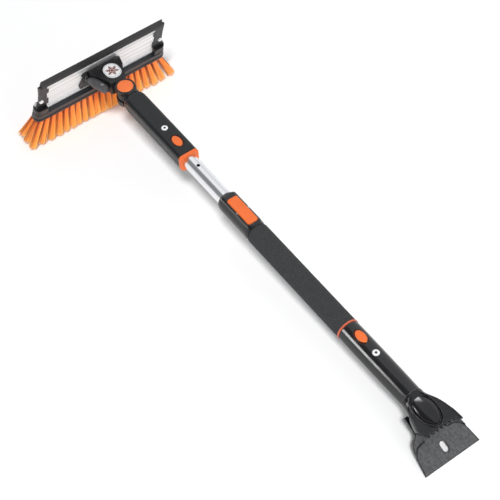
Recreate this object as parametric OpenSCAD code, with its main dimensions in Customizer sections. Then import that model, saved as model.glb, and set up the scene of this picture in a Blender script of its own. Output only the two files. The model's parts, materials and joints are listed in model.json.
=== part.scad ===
// Telescopic snow brush with a squeegee panel, a pivoting head and an ice scraper.
// The pole runs along X: brush head at the origin, scraper at the far end, push buttons on top.
// The origin is where the head's vertical pivot axis crosses the axis of the pole.

/* [Head] */
// Distance from the pivot axis to the foot of the panel plane
head_reach = 87.7; // [84:0.1:92]
// Lean of the head, its top towards the handle, in degrees
head_lean = 17; // [14:0.5:18]
// Length of the brush base
base_len = 294; // [280:1:300]
// Depth of the brush base
base_depth = 26; // [22:1:28]
// Height of the brush base
base_h = 18.8; // [17:0.1:20]
// Length of the rubber lip
lip_len = 264; // [250:1:270]
// Height of the rubber lip above its lower edge
lip_h = 22; // [18:1:24]
// Height of the panel above the brush base
panel_h = 94; // [90:1:95]
// Length of the bristles below the brush base
bristle_len = 57; // [50:1:62]

/* [Pivot] */
// Radius of the yoke discs around the pivot
yoke_r = 18.6; // [18.2:0.1:19]
// Radius of the round push button on the pivot
pivot_button_r = 15.2; // [14:0.1:15.2]
// Radius of the pivot pin
pivot_pin_r = 5; // [4.5:0.1:5]

/* [Pole] */
// Outer radius of the sliding inner tube
inner_r = 14; // [13.8:0.1:14]
// Outer radius of the outer tube
outer_r = 16; // [15.9:0.1:16]
// Length of the upper handle shells
upper_len = 179; // [175:1:182]
// Half the width of the upper handle
upper_half = 20.2; // [19.9:0.1:20.5]
// Outer radius of the foam grip
foam_r = 20.2; // [19.5:0.1:21]
// Length of the foam grip
foam_len = 246.5; // [240:0.5:246.5]
// Outer radius of the lower handle
lower_r = 20.6; // [20.2:0.1:21]

/* [Scraper] */
// Width of the scraping edge
blade_w = 110; // [100:1:116]
// Slope of the blade below the axis of the pole, in degrees
blade_slope = 23; // [20:1:24]
// Thickness of the blade at its back
blade_t = 7; // [5:0.5:7]
// Number of ice breaker teeth
teeth = 6; // [5:1:8]

/* [Hidden] */
$fn = 64;
gap = 0.05;

// Head, in its own leaning frame: n forward from the panel's back, s upward along the panel
base_top_s = -53.2;
base_bottom_s = base_top_s - base_h;
panel_bottom_s = base_top_s + 0.2;
panel_top_s = panel_bottom_s + panel_h;
panel_t = 2;
panel_half = 119.5;
lip_bottom_s = 34;
bracket_half = 138;
bracket_mid = 132;
bracket_screw_s = -11;
bracket_front_n = 4;
flange_n = panel_t + gap;
boss_y = -37;
boss_s = 3;
pod_screw_x = -37;
pod_screw_y = -27.5;
foot_top_s = -36;
base_screw_n = -7;
base_screw_y = [124.5, 137];
tuft_cols = 21;
tuft_half = 133;
tuft_root_r = 3.6;
tuft_tip_r = 5.6;
root_gap = 2.4;

// Pivot heights
tongue_h = 8;
plate_z = 8.4;
yoke_top = 18.2;
well_floor = 11;
pocket_floor = 1;
gear_r = 8.9;

// Stations along the pole
shell_x0 = 22;
collar_x0 = shell_x0 + upper_len + 0.3;
collar_len = 5.5;
tube_x0 = 110;
tube_x1 = 568;
upper_screw_x = 129;
upper_button_x = 168.8;
housing_x0 = 316;
housing_x1 = 404.5;
lever_x0 = 333.5;
lever_x1 = 398;
lever_pin_x = 366;
lever_pin_z = 19.2;
lever_spring_x = 388;
tooth_x = 338;
outer_x0 = 342;
outer_x1 = 716;
foam_x0 = 405;
ring_x0 = foam_x0 + foam_len + 0.3;
ring_len = 3;
lower_x0 = ring_x0 + ring_len + 0.3;
lower_x1 = 812;
lower_button_x = 686.5;
lower_screw_x = 724;
stop_hole_x = 234;
stop_pitch = 104;
stop_hole_r = 3.2;

// Push buttons on the two handles
oval_a = 13;
oval_b = 7.7;
shell_in_r = 16.6;
upper_flat_z = 18.8;
upper_under_z = -19.8;
lower_flat_z = 20.2;
window_r = 5.3;

// Screws
screw_r = 1.7;
screw_hole_r = 1.8;
cap_hole_r = 3.6;

// Scraper
tooth_tip_x = 885;
tooth_depth = 7;
tooth_y0 = -24;
tooth_y1 = 27;
blade_root_x = 870;
blade_root_z = -24.5;
blade_reach = 50;
blade_back = 43;
blade_front_t = 3.4;
slot_u = 27;
rivet_u = -20;
rivet_v = 13;
rivet_hole_r = 2.1;

// Puts its children in the leaning frame of the head.
module head_frame() {
    translate([-head_reach, 0, 0])
        rotate([0, head_lean, 0])
            children();
}

// Puts its children in the sloping frame of the blade, u along the blade and w out of its top face.
module blade_frame() {
    translate([blade_root_x, 0, blade_root_z])
        rotate([0, blade_slope, 0])
            children();
}

// Round bar along X.
module bar_x(x0, x1, r) {
    translate([x0, 0, 0])
        rotate([0, 90, 0])
            cylinder(r = r, h = x1 - x0);
}

// Box given by its two opposite corners.
module block(a, b) {
    translate(a)
        cube(b - a);
}

// Solid turned about X from [x, r] points.
module turned(points) {
    rotate([0, 90, 0])
        rotate_extrude($fn = 72)
            polygon([for (p = points) [p[1], p[0]]]);
}

// Upright oval column with half length a along X and half width b.
module oval(a, b, z0, z1) {
    translate([0, 0, z0]) {
        linear_extrude(z1 - z0) {
            translate([-(a - b), 0])
                circle(b);
            translate([a - b, 0])
                circle(b);
            translate([-(a - b), -b])
                square([2 * (a - b), 2 * b]);
        }
    }
}

// Coil spring standing on z0, with r its mean radius.
module coil(r, wire, z0, z1, turns) {
    steps = 14 * turns;
    sides = 6;
    rise = z1 - z0 - 2 * wire;
    ring = function (i) [for (k = [0 : sides - 1])
        let (a = 360 * i * turns / steps, b = 360 * k / sides)
        [(r + wire * cos(b)) * cos(a), (r + wire * cos(b)) * sin(a),
            z0 + wire + rise * i / steps + wire * sin(b)]];
    points = [for (i = [0 : steps]) each ring(i)];
    walls = [for (i = [0 : steps - 1], k = [0 : sides - 1])
        [i * sides + k, (i + 1) * sides + k,
            (i + 1) * sides + (k + 1) % sides, i * sides + (k + 1) % sides]];
    start_cap = [for (k = [0 : sides - 1]) k];
    end_cap = [for (k = [sides - 1 : -1 : 0]) steps * sides + k];
    polyhedron(points, concat([start_cap], [for (w = walls) [w[3], w[2], w[1], w[0]]], [end_cap]));
}

// Pan head screw pointing down, with its head's top at z = 0.
module screw(head_r, head_h, shank_r, length) {
    difference() {
        union() {
            translate([0, 0, -head_h])
                cylinder(r = head_r, h = head_h);
            translate([0, 0, -length])
                cylinder(r = shank_r, h = length - head_h + gap);
        }
        for (turn = [0, 90])
            rotate([0, 0, turn])
                block([-head_r * 0.6, -0.5, -1.2], [head_r * 0.6, 0.5, 1]);
    }
}

// ---- Head ----

module hub_plan() {
    polygon([[-92, -36], [-84, -34], [-57, -29.5], [-33, -18.5], [-21.5, -16],
        [-21.5, 16], [-33, 18.5], [-57, 29.5], [-84, 34], [-92, 36]]);
}

module hub_side() {
    polygon([[-95, -20], [-22, -13], [-22, 15], [-27, 18], [-68, 18], [-76, 14.5], [-84, 5.5],
        [-95, 5.5]]);
}

// Foot of the hub that lies flat on the panel.
module hub_foot() {
    head_frame()
        translate([flange_n - 1, 0, 0])
            rotate([90, 0, 90])
                linear_extrude(4)
                    polygon([[-49, -30], [-39, 5], [39, 5], [49, -30], [46, -42], [-46, -42]]);
}

// Rounded arm on the -Y side of the hub.
module hub_pod() {
    hull() {
        head_frame()
            block([flange_n - 1.3, -42.3, -18.4], [flange_n + 2.4, -33.1, -2.7]);
        translate([-62, -35, 0])
            sphere(7, $fn = 20);
        translate([-52, -33, 2])
            sphere(9, $fn = 20);
        translate([-32, -26.5, 1])
            sphere(8, $fn = 20);
    }
}

module head_hub() {
    color("#26272a")
        difference() {
            union() {
                intersection() {
                    translate([0, 0, -30])
                        linear_extrude(60)
                            hub_plan();
                    rotate([90, 0, 0])
                        translate([0, 0, -45])
                            linear_extrude(90)
                                hub_side();
                }
                hub_foot();
                hub_pod();
                translate([0, 0, -tongue_h])
                    cylinder(r = 16.5, h = 2 * tongue_h);
                block([-26, -12, -tongue_h], [0, 12, tongue_h]);
                head_frame()
                    translate([flange_n - 0.7, boss_y, boss_s])
                        rotate([0, 90, 0])
                            cylinder(r = 7.5, h = 7.7);
            }
            // Everything behind the front face of the panel
            head_frame()
                block([-40, -60, -60], [flange_n, 60, 60]);
            // Room for the discs of the yoke, above and below the tongue
            translate([0, 0, tongue_h])
                cylinder(r = 20.6, h = 20);
            translate([0, 0, -tongue_h - 20])
                cylinder(r = 20.6, h = 20);
            // Pin bore and the pocket of the lock gear
            translate([0, 0, -20])
                cylinder(r = pivot_pin_r + 0.06, h = 40);
            translate([0, 0, pocket_floor])
                cylinder(r = 10, h = 20);
            // Seat of the badge and the screw holes
            translate([-47, 2, 17])
                oval(19, 15.5, 0, 3);
            head_frame()
                translate([0, boss_y, boss_s])
                    rotate([0, 90, 0]) {
                        cylinder(r = screw_hole_r, h = 12);
                        translate([0, 0, flange_n + 7])
                            cylinder(r = 4.4, h = 30);
                    }
            translate([pod_screw_x, pod_screw_y, 0])
                cylinder(r = screw_hole_r, h = 20);
            translate([pod_screw_x, pod_screw_y, 7.6])
                cylinder(r = cap_hole_r, h = 10);
        }
}

module hub_badge() {
    color("white")
        translate([-47, 2, 17 + gap])
            oval(18.8, 15.3, 0, 1.6);
}

module hub_screws() {
    color("silver") {
        head_frame()
            translate([flange_n + 9.3, boss_y, boss_s])
                rotate([0, 90, 0])
                    screw(4, 2.2, screw_r, 9);
        translate([pod_screw_x, pod_screw_y, 9.5])
            screw(3.4, 1.8, screw_r, 8);
    }
}

module squeegee_panel() {
    color("#d9dbde")
        head_frame() {
            block([0, -panel_half, panel_bottom_s], [panel_t, panel_half, panel_top_s]);
            for (s = [24, 28, -45, -49])
                block([panel_t - 0.5, -panel_half, s], [panel_t + 0.7, panel_half, s + 1.4]);
        }
}

module squeegee_lip() {
    tip_s = lip_bottom_s + lip_h;
    color("#4a4c50")
        head_frame()
            translate([0, lip_len / 2, 0])
                rotate([90, 0, 0])
                    linear_extrude(lip_len)
                        difference() {
                            polygon([[-2.6, lip_bottom_s], [4.6, lip_bottom_s],
                                [4.6, lip_bottom_s + 9], [2.6, tip_s - 3], [1.9, tip_s], [0.1, tip_s],
                                [-0.6, tip_s - 3], [-2.6, lip_bottom_s + 9]]);
                            translate([-gap, lip_bottom_s - 1])
                                square([panel_t + 2 * gap, panel_top_s - lip_bottom_s + 1 + gap]);
                        }
}

module end_bracket(side) {
    head_frame()
        mirror([0, side < 0 ? 1 : 0, 0])
            difference() {
                union() {
                    // Foot on the base
                    translate([0, 134, base_top_s + gap])
                        cylinder(r = 11, h = foot_top_s - base_top_s - gap);
                    block([-11, panel_half + 0.3, base_top_s + gap], [11, 134, foot_top_s]);
                    // Upright beside the panel
                    translate([bracket_front_n - 4.5, 0, 0])
                        rotate([90, 0, 90])
                            linear_extrude(4.5)
                                polygon([[119.8, foot_top_s - 4], [143, foot_top_s - 4], [141, -26],
                                    [137, -18], [bracket_half - 1.5, 10], [bracket_half, 41],
                                    [133, 41], [133, lip_bottom_s - 0.2], [119.8, lip_bottom_s - 0.2]]);
                    // Lug that holds down the end of the panel
                    block([panel_t + 0.8, 116, 10], [bracket_front_n, 121, 22.5]);
                    block([panel_t + 0.8, 116, -30], [bracket_front_n, 121, -12]);
                }
                // Hole of the front screw
                translate([-10, bracket_mid, bracket_screw_s])
                    rotate([0, 90, 0])
                        cylinder(r = screw_hole_r, h = 20);
                // Trough on the front of the foot
                block([5, 122, -41], [9, 141, foot_top_s + 1]);
                // Screw holes into the base
                for (y = base_screw_y)
                    translate([base_screw_n, y, -60])
                        cylinder(r = screw_hole_r, h = 40);
                for (y = base_screw_y)
                    translate([base_screw_n, y, foot_top_s - 2.4])
                        cylinder(r = cap_hole_r, h = 5);
            }
}

module left_end_bracket() {
    color("#3a3b3e")
        end_bracket(-1);
}

module right_end_bracket() {
    color("#3a3b3e")
        end_bracket(1);
}

module bracket_screws() {
    color("silver")
        head_frame() {
            for (side = [-1, 1], y = base_screw_y)
                translate([base_screw_n, side * y, foot_top_s - 0.3])
                    screw(3.4, 2, screw_r, 26);
            for (side = [-1, 1])
                translate([bracket_front_n + 2.5, side * bracket_mid, bracket_screw_s])
                    rotate([0, 90, 0])
                        screw(4, 2.4, screw_r, 7);
        }
}

module stadium(half_len, half_depth, s0, s1) {
    translate([0, 0, s0])
        linear_extrude(s1 - s0) {
            for (side = [-1, 1])
                translate([0, side * (half_len - half_depth)])
                    circle(half_depth);
            square([2 * half_depth, 2 * (half_len - half_depth)], center = true);
        }
}

module brush_base() {
    rim_h = 5;
    half = base_len / 2;
    deep = base_depth / 2;
    color("#2e2f32")
        head_frame()
            difference() {
                union() {
                    stadium(half, deep, base_bottom_s, base_bottom_s + rim_h);
                    stadium(half - 1.2, deep - 1.2, base_bottom_s + rim_h - 0.1, base_top_s);
                }
                for (side = [-1, 1], y = base_screw_y)
                    translate([base_screw_n, side * y, base_top_s - 11])
                        cylinder(r = screw_hole_r, h = 20);
            }
}

// One tuft, its root at the origin, pointing down and leaning by two angles.
module tuft(lean_x, lean_y) {
    drop = bristle_len / cos(lean_x) / cos(lean_y);
    rotate([lean_y, -lean_x, 0])
        translate([0, 0, -drop])
            cylinder(r1 = tuft_tip_r, r2 = tuft_root_r, h = drop);
}

module bristles() {
    pitch = 2 * tuft_half / (tuft_cols - 1);
    color("#f47a1f")
        for (col = [0 : tuft_cols - 1], row = [-1, 0, 1])
            let (y = -tuft_half + col * pitch, n = 8 * row,
                s = base_bottom_s - root_gap,
                fan = 25 * pow(y / tuft_half, 3) - 4.6)
                translate([-head_reach + n * cos(head_lean) + s * sin(head_lean), y,
                        -n * sin(head_lean) + s * cos(head_lean)])
                    tuft(11 * row - 7.5, fan);
}

// ---- Pivot ----

module yoke_plate(z0, z1) {
    translate([0, 0, z0])
        cylinder(r = yoke_r, h = z1 - z0);
    block([0, -16.5, z0], [19.5, 16.5, z1]);
}

module pivot_yoke() {
    color("#232427")
        difference() {
            union() {
                yoke_plate(plate_z, yoke_top);
                yoke_plate(-yoke_top, -plate_z);
                // Neck and spigot
                intersection() {
                    block([18.9, -17, -yoke_top], [shell_x0 - 0.1, 17, yoke_top]);
                    bar_x(10, 30, 19.4);
                }
                bar_x(shell_x0 - 0.2, 94, 16.4);
            }
            // Corners of the arms follow the round handle
            difference() {
                block([12, -30, -30], [25, 30, 30]);
                bar_x(10, 30, 19.4);
                translate([0, 0, -30])
                    cylinder(r = yoke_r + 0.2, h = 60);
            }
            bar_x(34, 95, 12.5);
            // Button well, gear opening and pin bore
            translate([0, 0, well_floor])
                cylinder(r = pivot_button_r + 0.4, h = 20);
            translate([0, 0, 0])
                cylinder(r = gear_r + 0.4, h = 20);
            translate([0, 0, -20])
                cylinder(r = pivot_pin_r + 0.05, h = 20);
            translate([0, 0, -yoke_top - 1])
                cylinder(r = 8.2, h = 2.4);
        }
}

module pivot_pin() {
    color("silver") {
        translate([0, 0, -yoke_top + 0.1])
            cylinder(r = 8, h = 1.2);
        translate([0, 0, -yoke_top + 0.2])
            cylinder(r = pivot_pin_r, h = yoke_top + 10.7);
    }
}

module pivot_button() {
    color("#f26a1b")
        difference() {
            union() {
                translate([0, 0, 14.4])
                    cylinder(r = pivot_button_r, h = 3.8);
                translate([0, 0, 18.2])
                    cylinder(r1 = pivot_button_r, r2 = pivot_button_r - 1, h = 1);
                translate([0, 0, 12.05])
                    cylinder(r = 8.4, h = 3);
            }
            translate([0, 0, 10])
                cylinder(r = 5.6, h = 4.4);
        }
}

module pivot_lock_gear() {
    count = 12;
    color("#d8d8d8")
        difference() {
            translate([0, 0, 4.8])
                linear_extrude(7.2)
                    difference() {
                        circle(gear_r);
                        for (i = [0 : count - 1])
                            rotate([0, 0, 360 * i / count])
                                translate([gear_r - 0.9, -0.9])
                                    square([3, 1.8]);
                    }
            cylinder(r = 5.4, h = 20);
        }
}

module pivot_spring() {
    color("silver")
        coil(6.8, 0.5, pocket_floor + 0.1, 4.75, 2);
}

// ---- Upper handle ----

// Section of the handle, in Y and Z: flat on top with tight corners, rounder below. It is drawn in by inset.
module upper_section(inset) {
    half = upper_half - inset;
    top = upper_flat_z - inset;
    under = upper_under_z + inset;
    top_r = 7;
    under_r = 13;
    for (side = [-1, 1]) {
        translate([side * (half - top_r), top - top_r])
            circle(top_r);
        translate([side * (half - under_r), under + under_r])
            circle(under_r);
    }
    polygon([[-half, top - top_r], [-half + top_r, top], [half - top_r, top], [half, top - top_r],
        [half, under + under_r], [half - under_r, under], [-half + under_r, under],
        [-half, under + under_r]]);
}

// Bar along X with the handle's section.
module upper_bar(x0, x1, inset) {
    translate([x0, 0, 0])
        rotate([90, 0, 90])
            linear_extrude(x1 - x0)
                upper_section(inset);
}

module upper_body() {
    x0 = shell_x0;
    x1 = shell_x0 + upper_len;
    intersection() {
        upper_bar(x0, x1, 0);
        turned([[x0, shell_in_r], [x0, 19.2], [x0 + 14, 25], [x1, 25], [x1, shell_in_r]]);
    }
}

module upper_shell_top() {
    color("#1d1e20")
        difference() {
            upper_body();
            block([0, -40, -40], [250, 40, gap]);
            translate([upper_button_x, 0, 0])
                oval(oval_a + 0.4, oval_b + 0.4, 0, 40);
            translate([upper_screw_x, 0, 0])
                cylinder(r = screw_hole_r, h = 40);
            translate([upper_screw_x, 0, upper_flat_z - 1.7])
                cylinder(r = 6.2, h = 20);
        }
}

module upper_shell_bottom() {
    color("#1d1e20")
        difference() {
            upper_body();
            block([0, -40, -gap], [250, 40, 40]);
        }
}

module upper_screw() {
    color("silver")
        translate([upper_screw_x, 0, upper_flat_z + 0.2])
            screw(5.9, 1.8, screw_r, 4.2);
}

// Liner between the shells and the inner tube.
module upper_sleeve() {
    x0 = 96;
    x1 = shell_x0 + upper_len;
    color("#55575a")
        difference() {
            bar_x(x0, x1, shell_in_r - 0.2);
            bar_x(x0 + 6, x1 + 1, inner_r + 0.06);
            bar_x(x0 - 1, x0 + 8, 10);
            translate([upper_button_x, 0, 0])
                cylinder(r = window_r, h = 30);
            translate([upper_screw_x, 0, 14.4])
                cylinder(r = screw_hole_r, h = 10);
        }
}

module collar_ring() {
    x0 = collar_x0;
    x1 = collar_x0 + collar_len;
    color("#f26a1b")
        difference() {
            union() {
                upper_bar(x0, x1 - 1.2, 0.3);
                upper_bar(x1 - 1.3, x1, 1.1);
            }
            bar_x(x0 - 1, x1 + 1, inner_r + 0.08);
        }
}

// Oval push button in a handle, its cap from z1 to z2 and its stem down to z0, just above the tube.
module push_button(x, z0, z1, z2) {
    translate([x, 0, 0]) {
        oval(oval_a, oval_b, z1, z2 - 0.8);
        oval(oval_a - 0.8, oval_b - 0.8, z2 - 0.9, z2);
        translate([0, 0, z0])
            cylinder(r = 2.6, h = z2 - z0 - 1);
    }
}

module upper_button() {
    color("#f26a1b")
        push_button(upper_button_x, inner_r + 0.4, upper_flat_z, upper_flat_z + 2.2);
}

module upper_button_spring() {
    color("silver")
        translate([upper_button_x, 0, 0])
            coil(3.6, 0.4, inner_r + 0.3, upper_flat_z - 0.3, 3);
}

// ---- Inner tube ----

module inner_tube() {
    color("#cfd2d6")
        difference() {
            bar_x(tube_x0, tube_x1, inner_r);
            bar_x(tube_x0 - 1, tube_x1 + 1, inner_r - 1.5);
            // Length stops on top
            for (i = [0 : 3])
                translate([stop_hole_x + i * stop_pitch, 0, 0])
                    cylinder(r = stop_hole_r, h = 30);
            // Window of the upper push button
            translate([upper_button_x, 0, 0])
                cylinder(r = window_r, h = 30);
            // Four long grooves
            for (turn = [-47, -17, 17, 47])
                rotate([turn, 0, 0])
                    block([tube_x0 - 1, -0.6, inner_r - 0.4], [tube_x1 + 1, 0.6, inner_r + 1]);
        }
}

module tube_end_plug() {
    color("#3b3c40")
        difference() {
            union() {
                bar_x(tube_x1 - 16, tube_x1, inner_r - 1.55);
                bar_x(tube_x1 + gap, tube_x1 + 3, inner_r - 0.1);
                bar_x(tube_x1 - 2, tube_x1 + 2, inner_r - 2);
            }
            bar_x(tube_x1 - 20, tube_x1 + 5, 9);
        }
}

// Pin that catches the handle, drawn pushed in, with its top at z1.
module snap_pin(x, z1) {
    translate([x, 0, z1 - 3])
        cylinder(r = 4.8, h = 3);
    translate([x, 0, z1 - 3.4])
        cylinder(r = 6, h = 1.2);
}

module upper_snap_pin() {
    color("silver")
        snap_pin(upper_button_x, 12.2);
}

// Leaf spring bent into a V inside a tube, its bend on the given side of x.
module leaf_spring(x, top, side) {
    translate([x, 0, 0])
        mirror([side > 0 ? 1 : 0, 0, 0])
            rotate([90, 0, 0])
                translate([0, 0, -3])
                    linear_extrude(6)
                        polygon([[7, top], [-8, top], [-44, -2], [-50, -4], [-44, -6],
                            [7, -top - 1], [7, -top - 0.2], [-43, -5.1], [-47.5, -4], [-43, -2.9],
                            [-7.6, top - 0.8], [7, top - 0.8]]);
}

module upper_snap_spring() {
    color("silver")
        leaf_spring(upper_button_x, 8.75, -1);
}

// ---- Pole ----

module outer_tube() {
    color("#b9bcc0")
        difference() {
            bar_x(outer_x0, outer_x1, outer_r);
            bar_x(outer_x0 - 1, outer_x1 + 1, inner_r + 0.3);
            translate([lower_button_x, 0, 0])
                cylinder(r = window_r, h = 30);
        }
}

module guide_bush() {
    color("#6b6d70")
        difference() {
            bar_x(housing_x0 + 1.2, lever_x0 - 3, outer_r);
            bar_x(housing_x0, lever_x0, inner_r + 0.08);
        }
}

module lock_housing() {
    x0 = housing_x0;
    x1 = housing_x1;
    wall = 11.2;
    color("#232427")
        difference() {
            union() {
                turned([[x0, inner_r + 0.6], [x0, 16.6], [x0 + 2, 18.4], [x0 + 7, 19.6],
                    [x0 + 20, 20.2], [x1, 20.4], [x1, outer_r + gap], [x0 + 1.1, outer_r + gap],
                    [x0 + 1.1, inner_r + 0.6]]);
                // Raised surround of the lever
                intersection() {
                    block([x0 + 5, -wall - 3, 10], [x1 - 1, wall + 3, 20.9]);
                    difference() {
                        bar_x(x0, x1, 23.4);
                        bar_x(x0 - 1, x1 + 1, outer_r + 1);
                    }
                }
            }
            // Window of the lever and the pin holes
            block([lever_x0 - 1, -wall, 10], [lever_x1 + 1, wall, 30]);
            translate([lever_pin_x, 0, lever_pin_z])
                rotate([90, 0, 0])
                    translate([0, 0, -20])
                        cylinder(r = 1.55, h = 40);
        }
}

module lock_lever() {
    half = 10.6;
    under = 18.6;
    color("#f26a1b")
        difference() {
            union() {
                block([lever_x0, -half, under], [lever_x1, half, 22]);
                block([lever_x0 + 1.5, -half + 1.5, 21.9], [lever_x1 - 1.5, half - 1.5, 22.9]);
                block([lever_pin_x - 3.4, -half, 16.9], [lever_pin_x + 3.4, half, 20]);
                translate([tooth_x, 0, inner_r + 0.3])
                    cylinder(r = 2.7, h = 6);
            }
            translate([lever_pin_x, 0, lever_pin_z])
                rotate([90, 0, 0])
                    translate([0, 0, -20])
                        cylinder(r = 1.56, h = 40);
            translate([lever_spring_x, 0, under - 1])
                cylinder(r = 3.2, h = 3);
        }
}

module lever_pin() {
    color("silver")
        translate([lever_pin_x, 12.6, lever_pin_z])
            rotate([90, 0, 0])
                cylinder(r = 1.5, h = 25.2);
}

module lever_spring() {
    color("silver")
        translate([lever_spring_x, 0, 0])
            coil(2.2, 0.35, outer_r + 0.1, 20.5, 3);
}

module foam_grip() {
    x0 = foam_x0;
    x1 = foam_x0 + foam_len;
    color("#303134")
        turned([[x0, outer_r + gap], [x0, foam_r - 3], [x0 + 1, foam_r - 1.2], [x0 + 4, foam_r],
            [x1 - 3, foam_r], [x1, foam_r - 0.6], [x1, outer_r + gap]]);
}

module grip_ring() {
    color("#f26a1b")
        difference() {
            bar_x(ring_x0, ring_x0 + ring_len, 20.7);
            bar_x(ring_x0 - 1, ring_x0 + ring_len + 1, outer_r + gap);
        }
}

module lower_snap_pin() {
    color("silver")
        snap_pin(lower_button_x, 14.2);
}

module lower_snap_spring() {
    color("silver")
        leaf_spring(lower_button_x, 10.75, 1);
}

// ---- Lower handle and scraper ----

module lower_body() {
    x0 = lower_x0;
    x1 = lower_x1;
    turned([[x0, shell_in_r], [x0, 20.2], [x0 + 20, lower_r], [x1 - 60, lower_r], [x1 - 10, 20.2],
        [x1, 20], [x1, shell_in_r]]);
}

module lower_shell_top() {
    color("#1d1e20")
        difference() {
            lower_body();
            block([600, -40, -40], [900, 40, gap]);
            block([600, -40, lower_flat_z], [900, 40, 40]);
            translate([lower_button_x, 0, 0])
                oval(oval_a + 0.4, oval_b + 0.4, 0, 40);
            translate([lower_screw_x, 0, 0])
                cylinder(r = screw_hole_r, h = 40);
            translate([lower_screw_x, 0, lower_flat_z - 1.7])
                cylinder(r = 6.2, h = 20);
        }
}

module lower_shell_bottom() {
    color("#1d1e20")
        difference() {
            lower_body();
            block([600, -40, -gap], [900, 40, 40]);
        }
}

module lower_screw() {
    color("silver")
        translate([lower_screw_x, 0, lower_flat_z + 0.2])
            screw(5.9, 1.8, screw_r, 8);
}

// Core that carries the lower handle's load into the scraper head.
module lower_insert() {
    color("#55575a")
        difference() {
            union() {
                bar_x(720, lower_x1, shell_in_r - 0.2);
                bar_x(lower_x1 - 1, 826, 12);
            }
            bar_x(719, 800, 13);
            translate([lower_screw_x, 0, 0])
                cylinder(r = screw_hole_r, h = 30);
        }
}

module lower_button() {
    color("#f26a1b")
        push_button(lower_button_x, outer_r + 0.4, lower_flat_z - 0.2, lower_flat_z + 2);
}

module lower_button_spring() {
    color("silver")
        translate([lower_button_x, 0, 0])
            coil(3.6, 0.4, outer_r + 0.3, lower_flat_z - 0.4, 3);
}

// Toothed front edge of the ice breaker, from its +Y end to its -Y end.
function tooth_edge() = [for (i = [0 : 2 * teeth])
    let (y = tooth_y1 - (tooth_y1 - tooth_y0) * i / (2 * teeth))
    [tooth_tip_x + (i % 2 == 0 ? 0 : -tooth_depth), y]];

// Plan of the scraper head. Its +Y wing runs out to a point and its -Y wing is cut back.
module breaker_plan() {
    wing = [[lower_x1 + 6, -20.5], [lower_x1 + 6, 20.5], [830, 25], [848, 32], [866, 36], [889, 38],
        [882, 30]];
    cut_back = [[886, -26], [864, -34], [842, -28]];
    polygon(concat(wing, tooth_edge(), cut_back));
}

module scraper_head() {
    color("#1f2022")
        difference() {
            union() {
                // Neck
                hull() {
                    bar_x(lower_x1 + 0.2, lower_x1 + 2, 19.8, $fn = 32);
                    block([834, -25, -7], [836, 25, 9]);
                }
                // Deck with its side walls and the thin toothed front
                intersection() {
                    translate([0, 0, -20])
                        linear_extrude(40)
                            breaker_plan();
                    rotate([90, 0, 0])
                        translate([0, 0, -50])
                            linear_extrude(100)
                                polygon([[818, 12], [838, 8.6], [890, 6.5], [890, 2.5], [866, 2.5],
                                    [864, -7], [818, -9]]);
                }
                // Foot that takes the blade
                block([834, -20, -30], [861, 20, -4]);
                // Thumb dome
                translate([845, 0, 8])
                    rotate([0, 3, 0])
                        scale([30, 17.5, 8.5])
                            sphere(1, $fn = 28);
            }
            blade_frame()
                block([-blade_back - 0.5, -60, -60], [80, 60, gap]);
            bar_x(lower_x1 - 2, 826.5, 12.05);
            for (side = [-1, 1])
                blade_frame()
                    translate([rivet_u, side * rivet_v, -1])
                        cylinder(r = rivet_hole_r, h = 9);
        }
}

// Outline of the blade in its own plane.
module blade_plan() {
    side = [[-blade_back, 29], [-14, 30], [-8, 35], [-3, 43.5], [3, 46.5], [17, 49],
        [blade_reach, blade_w / 2]];
    last = len(side) - 1;
    polygon(concat([for (p = side) [p[0], -p[1]]], [for (i = [last : -1 : 0]) side[i]]));
}

module scraper_blade() {
    color("#54565a")
        blade_frame()
            difference() {
                union() {
                    intersection() {
                        translate([0, 0, -20])
                            linear_extrude(20)
                                blade_plan();
                        rotate([90, 0, 0])
                            translate([0, 0, -70])
                                linear_extrude(140)
                                    polygon([[-blade_back - 1, 0], [-blade_back - 1, -blade_t],
                                        [-6, -blade_t], [2, -blade_front_t], [14, -blade_front_t],
                                        [blade_reach, -1.2], [blade_reach, 0]]);
                    }
                    // Raised shoulders beside the face
                    for (side = [0, 1])
                        mirror([0, side, 0])
                            translate([0, 0, -1])
                                linear_extrude(3.2)
                                    polygon([[-10, 24], [-10, 34], [-6, 39], [-3, 43.5], [3, 46.5],
                                        [17, 49], [9, 43], [3, 36], [2, 24]]);
                }
                translate([slot_u, 0, 0])
                    oval(9.3, 5.2, -20, 5);
                for (side = [-1, 1])
                    translate([rivet_u, side * rivet_v, -20])
                        cylinder(r = rivet_hole_r, h = 30);
            }
}

module blade_rivets() {
    color("silver")
        blade_frame()
            for (side = [-1, 1])
                translate([rivet_u, side * rivet_v, 0]) {
                    translate([0, 0, -blade_t - 1.6])
                        cylinder(r = 4, h = 1.55);
                    translate([0, 0, -blade_t - 1])
                        cylinder(r = 2.05, h = blade_t + 8);
                }
}

head_hub();
hub_badge();
hub_screws();
squeegee_panel();
squeegee_lip();
left_end_bracket();
right_end_bracket();
bracket_screws();
brush_base();
bristles();
pivot_yoke();
pivot_pin();
pivot_button();
pivot_lock_gear();
pivot_spring();
upper_shell_top();
upper_shell_bottom();
upper_screw();
upper_sleeve();
collar_ring();
upper_button();
upper_button_spring();
inner_tube();
tube_end_plug();
upper_snap_pin();
upper_snap_spring();
outer_tube();
guide_bush();
lock_housing();
lock_lever();
lever_pin();
lever_spring();
foam_grip();
grip_ring();
lower_snap_pin();
lower_snap_spring();
lower_shell_top();
lower_shell_bottom();
lower_screw();
lower_insert();
lower_button();
lower_button_spring();
scraper_head();
scraper_blade();
blade_rivets();
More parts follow.
